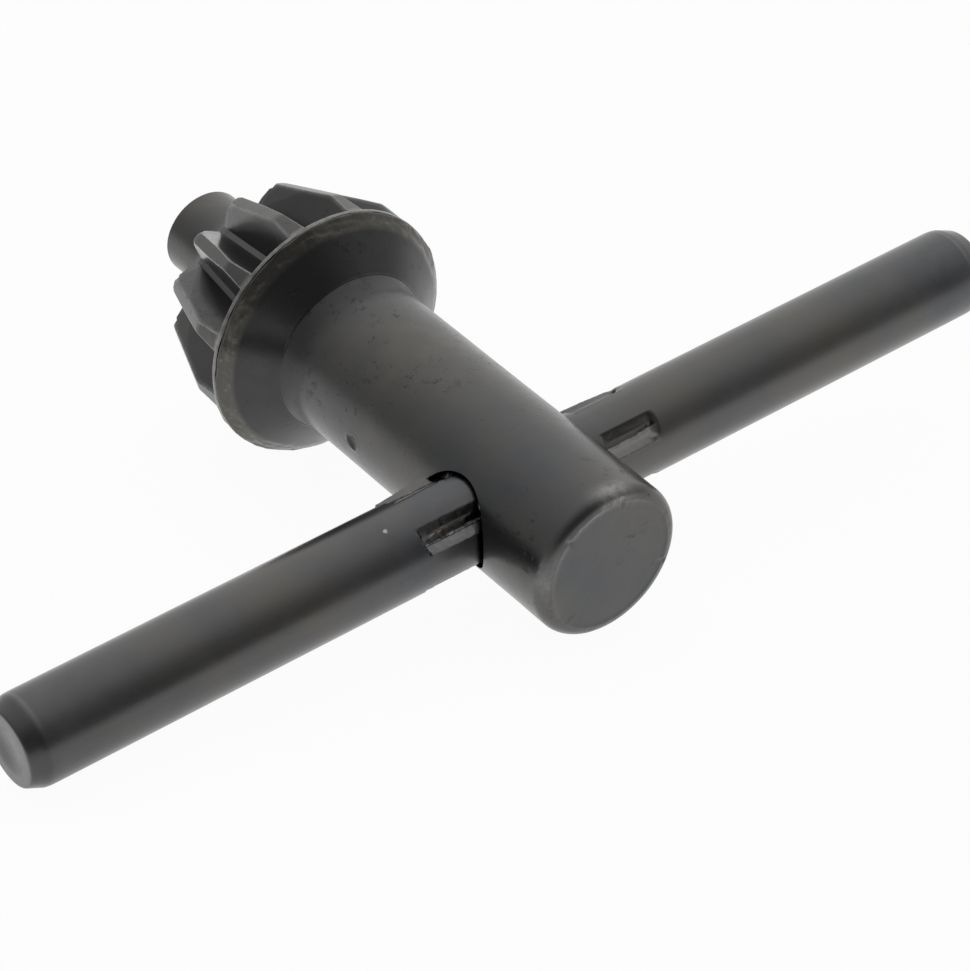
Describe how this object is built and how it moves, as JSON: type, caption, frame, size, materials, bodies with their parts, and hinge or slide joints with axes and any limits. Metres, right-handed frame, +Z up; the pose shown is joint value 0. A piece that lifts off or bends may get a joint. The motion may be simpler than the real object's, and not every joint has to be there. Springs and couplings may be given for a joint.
{
  "type": "drill chuck key",
  "caption": "T-shaped key for a geared drill chuck: round pilot, bevel pinion on a flange, round shank and a staked cross bar.",
  "frame": {"origin": "on the floor that the key lies on, below the middle of its box", "axes": "+X follows the handle bar towards its raised end, +Y follows the shank towards the pilot, +Z is up; the key is modelled as it comes to rest, so the shank axis is pitched and rolled a few degrees"},
  "size_m": [0.0732, 0.0438, 0.0175],
  "materials": {
    "body_steel": "forged and turned steel, blackened, satin, with small scale pits",
    "bar_steel": "drawn round steel, blackened, satin, bare metal in the stake marks"
  },
  "bodies": {
    "root": {"key_body": "body_steel", "tommy_bar": "bar_steel"}
  },
  "joints": []
}
